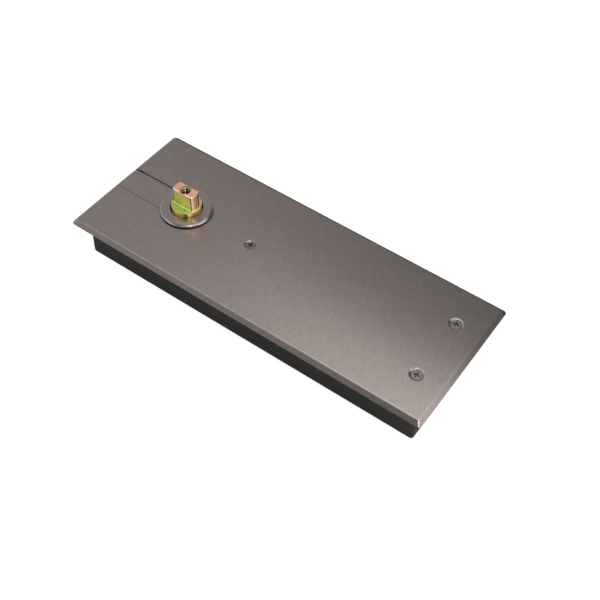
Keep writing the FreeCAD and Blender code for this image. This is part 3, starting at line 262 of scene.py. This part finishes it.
class Shade:
    """A material's node tree with short calls for the nodes that these finishes use."""

    def __init__(self, name, colour, metallic, roughness):
        self.material = bpy.data.materials.new(name)
        self.material.use_nodes = True
        self.tree = self.material.node_tree
        self.shader = self.tree.nodes["Principled BSDF"]
        self.colour = colour
        self.shader.inputs["Base Color"].default_value = (*colour, 1)
        self.shader.inputs["Metallic"].default_value = metallic
        self.shader.inputs["Roughness"].default_value = roughness

    def node(self, kind, **values):
        made = self.tree.nodes.new(kind)
        for key, value in values.items():
            setattr(made, key, value)
        return made

    def link(self, source, target):
        self.tree.links.new(source, target)

    def put(self, value, socket):
        """Sets a socket to a number or a colour, or links an output to it."""
        if isinstance(value, tuple):
            socket.default_value = (*value, 1)
        elif isinstance(value, (int, float)):
            socket.default_value = value
        else:
            self.link(value, socket)

    def axes(self, vector):
        split = self.node("ShaderNodeSeparateXYZ")
        self.link(vector, split.inputs["Vector"])
        return [split.outputs[axis] for axis in "XYZ"]

    def place(self, scale):
        """Position in the part's frame, in metres, scaled along each axis."""
        coordinates = self.node("ShaderNodeTexCoord")
        mapping = self.node("ShaderNodeMapping")
        mapping.inputs["Scale"].default_value = scale
        self.link(coordinates.outputs["Object"], mapping.inputs["Vector"])
        return mapping.outputs["Vector"]

    def spot(self, *centre):
        """Position from a point of the part's frame, as three outputs X, Y and Z in metres."""
        coordinates = self.node("ShaderNodeTexCoord")
        shift = self.node("ShaderNodeVectorMath", operation="SUBTRACT")
        shift.inputs[1].default_value = centre
        self.link(coordinates.outputs["Object"], shift.inputs[0])
        return self.axes(shift.outputs["Vector"])

    def facing(self):
        """The surface's own normal, as three outputs."""
        return self.axes(self.node("ShaderNodeTexCoord").outputs["Normal"])

    def vector(self, x, y):
        made = self.node("ShaderNodeCombineXYZ")
        self.put(x, made.inputs["X"])
        self.put(y, made.inputs["Y"])
        return made.outputs["Vector"]

    def sums(self, operation, a, b):
        made = self.node("ShaderNodeMath", operation=operation)
        self.put(a, made.inputs[0])
        self.put(b, made.inputs[1])
        return made.outputs["Value"]

    def add(self, a, b):
        return self.sums("ADD", a, b)

    def product(self, a, b):
        return self.sums("MULTIPLY", a, b)

    def size(self, value):
        return self.sums("ABSOLUTE", value, 0.0)

    def mean(self, a, b, share=0.5):
        """Two values added in shares that make 1."""
        return self.add(self.product(a, share), self.product(b, 1 - share))

    def radius(self, x, y):
        return self.sums("SQRT", self.add(self.product(x, x), self.product(y, y)), 0.0)

    def spread(self, value, low, high, start=0.0, end=1.0):
        """Maps start..end of a value to low..high, clamped."""
        made = self.node("ShaderNodeMapRange")
        made.inputs["From Min"].default_value = start
        made.inputs["From Max"].default_value = end
        made.inputs["To Min"].default_value = low
        made.inputs["To Max"].default_value = high
        self.link(value, made.inputs["Value"])
        return made.outputs["Result"]

    def contrast(self, noise, low=0, high=1):
        """Maps the span that noise fills to low..high."""
        return self.spread(noise, low, high, *NOISE_SPAN)

    def near(self, value, place, soft):
        """1 where a value's size is at a place, falling to 0 a soft distance away."""
        away = self.size(self.sums("SUBTRACT", self.size(value), place))
        return self.spread(away, 1, 0, 0, soft)

    def noise(self, at, detail, rough=0.55):
        """Noise with so many cells per metre along X, Y and Z, or over a vector of its own."""
        made = self.node("ShaderNodeTexNoise")
        made.inputs["Scale"].default_value = 1.0
        made.inputs["Detail"].default_value = detail
        made.inputs["Roughness"].default_value = rough
        self.link(self.place(at) if isinstance(at, tuple) else at, made.inputs["Vector"])
        return made.outputs["Fac"]

    def blend(self, amount, a, b):
        """One colour turning into another as the amount goes from 0 to 1."""
        made = self.node("ShaderNodeMix", data_type="RGBA")
        self.link(amount, made.inputs[MIX_FACTOR])
        self.put(a, made.inputs[MIX_A])
        self.put(b, made.inputs[MIX_B])
        return made.outputs[MIX_RESULT]

    def times(self, a, b):
        """Two colours multiplied."""
        made = self.node("ShaderNodeMix", data_type="RGBA", blend_type="MULTIPLY")
        made.inputs[MIX_FACTOR].default_value = 1.0
        self.link(a, made.inputs[MIX_A])
        self.link(b, made.inputs[MIX_B])
        return made.outputs[MIX_RESULT]

    def ramp(self, value, stops):
        return colour_ramp(self.tree, value, stops)

    def tint(self, value, low, high):
        """The base colour times low..high as a value goes from 0 to 1."""
        self.paint(self.blend(value, scaled(self.colour, low), scaled(self.colour, high)))

    def paint(self, colour):
        self.link(colour, self.shader.inputs["Base Color"])

    def gloss(self, value):
        self.link(value, self.shader.inputs["Roughness"])

    def tangent(self, x, y):
        """The direction that stretches highlights, across the grinding lines."""
        self.link(self.vector(x, y), self.shader.inputs["Tangent"])

    def bump(self, height, strength, distance):
        made = self.node("ShaderNodeBump")
        made.inputs["Strength"].default_value = strength
        made.inputs["Distance"].default_value = distance
        self.link(height, made.inputs["Height"])
        self.link(made.outputs["Normal"], self.shader.inputs["Normal"])


def brushed(name, colour, roughness, anisotropy):
    """The cover, ground across its width: painted highlights on the folds, painted shade on the back
    fold and along the strip's gap.
    """
    shade = Shade(name, colour, metallic=1.0, roughness=roughness)
    grain = shade.mean(shade.noise(GRAIN_FINE, detail=2.0), shade.noise(GRAIN_LONG, detail=2.0))
    dark = scaled(colour, 1 - GRAIN_DEPTH)
    pale = scaled(colour, 1 + GRAIN_DEPTH)
    sheet = shade.blend(shade.contrast(grain), dark, pale)
    x, y, _ = shade.spot(0, 0, 0)
    # Painted highlight on the folds, stronger towards the front right, then painted shade on the back
    # fold
    folds = shade.sums("MAXIMUM", shade.near(x, FOLD_X, FOLD_SOFT), shade.near(y, FOLD_Y, FOLD_SOFT))
    share = shade.spread(shade.sums("SUBTRACT", x, y), 0, FOLD_HIGHLIGHT_SHARE, *FOLD_HIGHLIGHT_FROM)
    sheet = shade.blend(shade.product(folds, share), sheet, scaled(colour, FOLD_HIGHLIGHT))
    back_fold_shade = shade.spread(y, 0, 1, FOLD_Y - FOLD_SOFT, FOLD_Y)
    sheet = shade.blend(back_fold_shade, sheet, scaled(colour, FOLD_BEHIND_SHADE))
    # Painted shade in the gap in front of the filler strip, up to the spindle
    gap_shade = shade.spread(shade.size(shade.add(y, SLOT_Y)), 1, 0, *GAP_SHADE_HALF)
    gap_shade = shade.product(gap_shade, shade.spread(x, 1, 0, SPINDLE_X - GAP_SHADE_END, SPINDLE_X))
    shade.paint(shade.blend(shade.product(gap_shade, GAP_SHADE_SHARE), sheet, GAP_SHADE_COLOUR))
    mottle = shade.contrast(shade.noise(MOTTLE, detail=2.0), *MOTTLE_GLOSS)
    shade.gloss(shade.add(shade.add(shade.contrast(grain, *GRAIN_GLOSS), mottle), roughness))
    shade.shader.inputs["Specular Tint"].default_value = (*MIRRORED_TINT, 1)
    shade.shader.inputs["Anisotropic"].default_value = anisotropy
    shade.tangent(1.0, 0.0)
    shade.bump(grain, strength=0.01, distance=0.00004)
    return shade


def turned(name, colour, roughness, anisotropy=0.4):
    """Turned or ground round stock: faint rings and handling marks."""
    shade = Shade(name, colour, metallic=1.0, roughness=roughness)
    rings = shade.noise(TURNED_RINGS, detail=2.0)
    marks = shade.noise(TURNED_MARKS, detail=4.0)
    shade.tint(shade.mean(rings, marks), low=0.8, high=1.12)
    shade.gloss(shade.contrast(marks, low=roughness, high=roughness + 0.08))
    shade.shader.inputs["Anisotropic"].default_value = anisotropy
    shade.bump(rings, strength=0.12, distance=0.00003)
    return shade


def ground_disc(name, colour, roughness, anisotropy):
    """The collar: lines turned round the spindle, a painted highlight along its edge, and painted shade
    where it meets the plate.
    """
    shade = Shade(name, colour, metallic=1.0, roughness=roughness)
    x, y, z = shade.spot(SPINDLE_X, 0, 0)
    outward = shade.vector(shade.product(shade.radius(x, y), DISC_RINGS), shade.product(z, DISC_RINGS))
    rings = shade.noise(outward, detail=2.0)
    marks = shade.noise(DISC_MARKS, detail=3.0)
    metal = shade.contrast(shade.mean(rings, marks, share=0.6))
    unshaded = shade.blend(metal, scaled(colour, DISC_DARK), scaled(colour, DISC_PALE))
    # A painted highlight along the collar's rounded edge, then painted shade at its foot against the
    # plate
    bright, share = DISC_HIGHLIGHT
    worn = shade.product(shade.near(z, PLATE_TOP + DISC_HIGHLIGHT_Z, DISC_HIGHLIGHT_SOFT), share)
    unshaded = shade.blend(worn, unshaded, scaled(colour, bright))
    foot_shade_from, foot_shade_to = DISC_SHADE_Z
    foot_shade = shade.spread(z, 1, 0, PLATE_TOP + foot_shade_from, PLATE_TOP + foot_shade_to)
    shade.paint(shade.blend(foot_shade, unshaded, DISC_SHADE))
    shade.gloss(shade.contrast(marks, low=roughness, high=roughness + 0.06))
    shade.shader.inputs["Anisotropic"].default_value = anisotropy
    shade.tangent(x, y)
    shade.bump(rings, strength=0.05, distance=0.00003)
    return shade


def painted(name, colour, roughness, specular):
    """Sprayed satin paint with orange peel and paler worn spots."""
    shade = Shade(name, colour, metallic=0.0, roughness=roughness)
    shade.shader.inputs["Specular IOR Level"].default_value = specular
    peel = shade.noise(PAINT_PEEL, detail=2.0)
    wear = shade.noise(PAINT_WEAR, detail=4.0)
    shade.tint(shade.contrast(wear), low=0.82, high=1.2)
    shade.gloss(shade.contrast(wear, low=roughness - 0.05, high=roughness + 0.07))
    shade.bump(peel, strength=0.25, distance=0.00006)
    return shade


def cast(name, colour):
    """Fine sand-cast surface under machinery paint."""
    shade = Shade(name, colour, metallic=0.15, roughness=0.55)
    grit = shade.noise(CAST_GRIT, detail=5.0, rough=0.7)
    cloud = shade.noise(CAST_CLOUD, detail=3.0)
    shade.tint(shade.contrast(cloud), low=0.78, high=1.18)
    shade.gloss(shade.contrast(grit, low=0.45, high=0.68))
    shade.bump(grit, strength=0.45, distance=0.00012)
    return shade


def moulded(name, colour, roughness):
    """Moulded rubber or pressed fibre."""
    shade = Shade(name, colour, metallic=0.0, roughness=roughness)
    grit = shade.noise(MOULD_GRIT, detail=3.0)
    shade.tint(grit, low=0.75, high=1.25)
    shade.gloss(shade.contrast(grit, low=roughness - 0.08, high=roughness + 0.08))
    shade.bump(grit, strength=0.3, distance=0.00005)
    return shade


def passivated(name):
    """Yellow-passivated zinc on small parts: gold that drifts to green and rose."""
    shade = Shade(name, PASSIVATED, metallic=0.5, roughness=0.26)
    cloud = shade.noise(FILM_CLOUD, detail=3.0)
    lines = shade.noise(FILM_LINES, detail=3.0)
    thick = shade.spread(shade.mean(cloud, lines, share=0.75), 0, 1, start=0.32, end=0.68)
    shade.paint(shade.ramp(thick, FILM))
    shade.gloss(shade.contrast(lines, low=0.18, high=0.32))
    shade.bump(lines, strength=0.1, distance=0.00005)
    return shade


def passivated_spindle(name):
    """The spindle's film: rose on top, gold to green down the flats, copper on the ends; painted
    highlights, reflections and shade.
    """
    shade = Shade(name, PASSIVATED, metallic=0.45, roughness=0.24)
    x, y, z = shade.spot(SPINDLE_X, 0, 0)
    across, along, up = shade.facing()
    lengthwise = shade.size(along)
    from_axis = shade.radius(x, y)
    cloud = shade.noise(SPINDLE_CLOUD, detail=2.0)
    lines = shade.noise(SPINDLE_LINES, detail=2.0)
    drift = shade.add(shade.contrast(cloud, *CLOUD_DRIFT), shade.contrast(lines, *LINES_DRIFT))

    def film(thickness):
        return shade.ramp(shade.add(thickness, drift), FILM)

    # Down a flat the film thickens, most at the end away from the plate's middle
    down = shade.spread(z, *FLAT_FOOT_TO_TOP, SHOULDER_Z, SPINDLE_TOP)
    flat = film(shade.add(down, shade.spread(x, *FLAT_LEFT_TO_RIGHT, *FLAT_SPAN)))
    round_end = film(shade.spread(z, *END_FOOT_TO_TOP, SHOULDER_Z, SPINDLE_TOP))
    side = shade.blend(shade.spread(lengthwise, 0, 1, *FACING_FLAT), round_end, flat)
    # Painted reflections: dark and pale streaks by which way the tang's ends face
    side = shade.times(side, shade.ramp(shade.spread(along, 0, 1, -1, 1), REFLECTED_STREAKS))
    patches = shade.spread(cloud, *TOP_PATCHES, *TOP_SPAN)
    top = shade.ramp(shade.add(patches, shade.spread(lines, *TOP_LINES)), FILM)
    # Film colour on the ledge, green at the front as a painted reflection of the flat above it
    ledge_film_and_reflection = film(shade.spread(y, *LEDGE_FRONT_TO_BACK, *LEDGE_SPAN))
    on_top = shade.spread(z, 0, 1, SPINDLE_TOP - 2 * EDGE_SOFT, SPINDLE_TOP - EDGE_SOFT)
    level = shade.blend(on_top, ledge_film_and_reflection, top)
    band = film(shade.spread(z, *BAND_FOOT_TO_TOP, PLATE_TOP, SHOULDER_Z))
    # Painted reflections on the band below the shoulder, by which way it faces
    turn = shade.add(shade.product(across, BAND_ACROSS[0]), shade.product(along, BAND_ACROSS[1]))
    band = shade.times(band, shade.ramp(shade.spread(turn, 0, 1, -1, 1), BAND_REFLECTIONS))
    below = shade.spread(z, 0, 1, SHOULDER_Z - EDGE_SOFT, SHOULDER_Z - 2 * EDGE_SOFT)
    colour = shade.blend(below, side, band)
    colour = shade.blend(shade.spread(up, 0, 1, *FACING_UP), colour, level)
    # Painted highlights on the chamfers, the fillet at the shoulder and the tang's rounded corners
    sloped = shade.product(shade.spread(up, 0, 1, *SLOPE_FROM), shade.spread(up, 1, 0, *SLOPE_TO))
    high = shade.spread(z, *CHAMFER_HIGHLIGHT, SHOULDER_Z, SPINDLE_TOP)
    colour = shade.blend(shade.product(sloped, high), colour, CHAMFER_HIGHLIGHT_COLOUR)
    fillet_from, fillet_to = FILLET_Z
    fillet_highlight = shade.spread(z, 0, 1, SHOULDER_Z + fillet_from, SHOULDER_Z + fillet_to)
    fillet_highlight = shade.product(shade.product(sloped, fillet_highlight), shade.spread(z, 1, 0, *FILLET_END))
    colour = shade.blend(fillet_highlight, colour, FILLET_HIGHLIGHT)
    corner_highlight = shade.spread(lengthwise, 0, 1, *CORNER_FROM)
    corner_highlight = shade.product(corner_highlight, shade.spread(lengthwise, 1, 0, *CORNER_TO))
    corner_highlight = shade.product(corner_highlight, shade.spread(z, 0, 1, SHOULDER_Z, SHOULDER_Z + 2 * EDGE_SOFT))
    outside = shade.spread(from_axis, 0, 1, TAP_MOUTH_R + 4 * EDGE_SOFT, TAP_MOUTH_R + 6 * EDGE_SOFT)
    colour = shade.blend(shade.product(corner_highlight, outside), colour, CORNER_HIGHLIGHT)
    # Thread and bare metal inside the tapped hole, with painted shade that darkens it deeper down
    floor_to, floor_from = TAP_FLOOR
    within = shade.spread(from_axis, 1, 0, TAP_MOUTH_R - EDGE_SOFT, TAP_MOUTH_R + EDGE_SOFT / 2)
    inside = shade.product(within, shade.spread(z, 0, 1, SHOULDER_Z - floor_to, SHOULDER_Z - floor_from))
    shade_from, shade_to = TAP_SHADE
    depth = shade.spread(z, 0, 1, SPINDLE_TOP - shade_from, SPINDLE_TOP - shade_to)
    shade.paint(shade.blend(inside, colour, shade.blend(depth, TAP_DARK, TAP_PALE)))
    shade.gloss(shade.contrast(lines, low=0.17, high=0.26))
    thread = shade.product(shade.sums("PINGPONG", z, THREAD_PITCH / 2), inside)
    shade.bump(shade.add(thread, shade.product(lines, LINES_HEIGHT)), strength=1.0, distance=1.0)
    return shade


finishes = {
    "brushed_stainless": brushed("brushed_stainless", (0.44, 0.385, 0.362), 0.29, anisotropy=0.85),
    "satin_stainless": turned("satin_stainless", (0.44, 0.41, 0.39), 0.28, anisotropy=0.5),
    "screw_steel": turned("screw_steel", (0.32, 0.31, 0.29), 0.30),
    "bright_steel": turned("bright_steel", (0.56, 0.56, 0.55), 0.28),
    "hardened_steel": turned("hardened_steel", (0.30, 0.30, 0.31), 0.30),
    "spring_steel": turned("spring_steel", (0.11, 0.11, 0.12), 0.38),
    "yellow_passivated": passivated("yellow_passivated"),
    "black_paint": painted("black_paint", (0.019, 0.018, 0.016), 0.48, specular=0.3),
    "cast_iron": cast("cast_iron", (0.17, 0.19, 0.21)),
    "brass": turned("brass", (0.70, 0.52, 0.23), 0.28),
    "black_rubber": moulded("black_rubber", (0.02, 0.02, 0.02), 0.62),
    "gasket_fibre": moulded("gasket_fibre", (0.12, 0.17, 0.12), 0.8),
}
own_finishes = {
    "spindle": passivated_spindle("spindle_film"),
    "spindle_collar": ground_disc("ground_collar", (0.45, 0.41, 0.385), 0.28, anisotropy=0.6),
}
for entry in frame["record"]["subparts"]:
    mesh = nodes[entry["node"]].data
    mesh.materials.clear()
    mesh.materials.append(own_finishes.get(entry["node"], finishes[entry["material_slot"]]).material)


def piece(name, shape, slot):
    """A new object from a bmesh, in one of the finishes."""
    bmesh.ops.recalc_face_normals(shape, faces=shape.faces)
    mesh = bpy.data.meshes.new(name)
    shape.to_mesh(mesh)
    shape.free()
    mesh.materials.append(finishes[slot].material)
    made = bpy.data.objects.new(name, mesh)
    bpy.context.scene.collection.objects.link(made)
    return made


def slot_end_shade_strip():
    """A thin black rubber strip under the slot's end, where the cover reaches past the box, put there as
    painted shade for the gap.
    """
    outline = SHADE_STRIP_RUN + [(x + SHADE_STRIP_SHEET / 2, z - SHADE_STRIP_SHEET) for x, z in reversed(SHADE_STRIP_RUN)]
    shape = bmesh.new()
    ends = []
    for y in (SLOT_BACK - SHADE_STRIP_LAP, SLOT_Y + SHADE_STRIP_LAP):
        ends.append([shape.verts.new((x, y, z)) for x, z in outline])
    near, far = ends
    shape.faces.new(near)
    shape.faces.new(reversed(far))
    for here in range(len(outline)):
        there = (here + 1) % len(outline)
        shape.faces.new((near[here], far[here], far[there], near[there]))
    shade_strip = piece("slot_end_shade_strip", shape, "black_rubber")
    soften = shade_strip.modifiers.new("edges", "BEVEL")
    soften.width = SHADE_STRIP_EDGE
    soften.segments = 2
    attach(shade_strip, "housing")


def squeezed_spring():
    """The closing spring on the solid's own helix, as a piece of its own in place of the solid."""
    low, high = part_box("closing_spring")
    middle = (low + high) / 2
    length = high.x - low.x
    coil_r = (high.z - low.z) / 2 - SPRING_WIRE_R
    run = length - 2 * SPRING_WIRE_R
    count = round(SPRING_TURNS * SPRING_STEPS)
    lean = math.atan2(run / SPRING_TURNS, 2 * math.pi * coil_r)
    level = math.cos(lean)
    shape = bmesh.new()
    rings = []
    for step in range(count + 1):
        turn = 2 * math.pi * step / SPRING_STEPS
        outward = Vector((0, math.sin(turn), -math.cos(turn)))
        forward = Vector((math.sin(lean), level * math.cos(turn), level * math.sin(turn)))
        across = outward.cross(forward)
        on_axis = Vector((low.x + SPRING_WIRE_R + run * step / count, middle.y, middle.z))
        centre = on_axis + coil_r * outward
        ring = []
        for side in range(SPRING_SIDES):
            angle = 2 * math.pi * side / SPRING_SIDES
            rim = math.cos(angle) * outward + math.sin(angle) * across
            ring.append(shape.verts.new(centre + SPRING_WIRE_R * rim))
        rings.append(ring)
    for here, there in zip(rings, rings[1:]):
        for side in range(SPRING_SIDES):
            following = (side + 1) % SPRING_SIDES
            shape.faces.new((here[side], here[following], there[following], there[side]))
    shape.faces.new(rings[0])
    shape.faces.new(rings[-1])
    spring = piece("squeezed_spring", shape, "spring_steel")
    spring.data.shade_smooth()
    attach(spring, "housing")
    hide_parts("closing_spring")
    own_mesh(spring)


def studio():
    """Walls and a ceiling for what the metal mirrors, plain fill for the rest, white for the camera."""
    world = bpy.data.worlds.new("studio")
    bpy.context.scene.world = world
    world.use_nodes = True
    tree = world.node_tree
    path = tree.nodes.new("ShaderNodeLightPath")
    place = tree.nodes.new("ShaderNodeTexCoord")
    split = tree.nodes.new("ShaderNodeSeparateXYZ")
    tree.links.new(place.outputs["Generated"], split.inputs["Vector"])
    across = tree.nodes.new("ShaderNodeMapRange")
    across.inputs["From Min"].default_value = -1.0
    tree.links.new(split.outputs["X"], across.inputs["Value"])
    rise = tree.nodes.new("ShaderNodeMapRange")
    rise.interpolation_type = "SMOOTHSTEP"
    rise.inputs["From Min"].default_value, rise.inputs["From Max"].default_value = CEILING_FROM
    tree.links.new(split.outputs["Z"], rise.inputs["Value"])
    room = tree.nodes.new("ShaderNodeMix")
    room.data_type = "RGBA"
    tree.links.new(rise.outputs["Result"], room.inputs[MIX_FACTOR])
    for levels, socket in ((WALLS, MIX_A), (CEILING, MIX_B)):
        greys = [(position, (level, level, level)) for position, level in levels]
        tree.links.new(colour_ramp(tree, across.outputs["Result"], greys), room.inputs[socket])
    backdrop = tree.nodes["Background"]
    backdrop.inputs["Color"].default_value = (1, 1, 1, 1)
    fill = tree.nodes.new("ShaderNodeBackground")
    fill.inputs["Strength"].default_value = FILL
    mirrored = tree.nodes.new("ShaderNodeBackground")
    tree.links.new(room.outputs[MIX_RESULT], mirrored.inputs["Color"])
    lit = fill.outputs["Background"]
    for ray, seen in (("Is Glossy Ray", mirrored), ("Is Camera Ray", backdrop)):
        mix = tree.nodes.new("ShaderNodeMixShader")
        tree.links.new(path.outputs[ray], mix.inputs["Fac"])
        tree.links.new(lit, mix.inputs[1])
        tree.links.new(seen.outputs["Background"], mix.inputs[2])
        lit = mix.outputs["Shader"]
    tree.links.new(lit, tree.nodes["World Output"].inputs["Surface"])


def softbox(name, place, target, size, level, turn):
    """A rectangular lamp that metal mirrors at the level given, turned about its own axis."""
    light = bpy.data.lights.new(name, "AREA")
    light.shape = "RECTANGLE"
    light.size, light.size_y = size
    light.energy = level * math.pi * light.size * light.size_y
    lamp = bpy.data.objects.new(name, light)
    lamp.location = place
    aim = (Vector(target) - Vector(place)).to_track_quat("-Z", "Y")
    lamp.rotation_euler = (aim @ Quaternion((0, 0, 1), math.radians(turn))).to_euler()
    bpy.context.scene.collection.objects.link(lamp)


def pale_floor():
    """A matt floor that shadows the part, with a glow on top for the camera, so that it looks white."""
    mesh = bpy.data.meshes.new("floor")
    corners = [(x * FLOOR_HALF, y * FLOOR_HALF, 0) for x, y in ((-1, -1), (1, -1), (1, 1), (-1, 1))]
    mesh.from_pydata(corners, [], [(0, 1, 2, 3)])
    floor = bpy.data.objects.new("floor", mesh)
    floor.location.z = -FLOOR_DROP
    bpy.context.scene.collection.objects.link(floor)
    shade = Shade("floor", (FLOOR_GREY, FLOOR_GREY, FLOOR_GREY), metallic=0.0, roughness=0.9)
    matt = shade.shader.outputs["BSDF"]
    glow = shade.node("ShaderNodeEmission")
    glow.inputs["Strength"].default_value = FLOOR_GLOW
    glowing = shade.node("ShaderNodeAddShader")
    path = shade.node("ShaderNodeLightPath")
    seen = shade.node("ShaderNodeMixShader")
    shade.link(matt, glowing.inputs[0])
    shade.link(glow.outputs["Emission"], glowing.inputs[1])
    shade.link(path.outputs["Is Camera Ray"], seen.inputs["Fac"])
    shade.link(matt, seen.inputs[1])
    shade.link(glowing.outputs["Shader"], seen.inputs[2])
    shade.link(seen.outputs["Shader"], shade.tree.nodes["Material Output"].inputs["Surface"])
    mesh.materials.append(shade.material)


def photograph():
    """The camera at the photograph's angle."""
    data = bpy.data.cameras.new("camera")
    data.sensor_width = SENSOR
    data.lens = LENS
    camera = bpy.data.objects.new("camera", data)
    camera.location = CAMERA_PLACE
    camera.rotation_euler = [math.radians(turn) for turn in CAMERA_TURN]
    bpy.context.scene.collection.objects.link(camera)
    bpy.context.scene.camera = camera
    bpy.context.scene.view_settings.view_transform = "Standard"


slot_end_shade_strip()
squeezed_spring()
studio()
pale_floor()
for lamp in LAMPS:
    softbox(*lamp)
photograph()
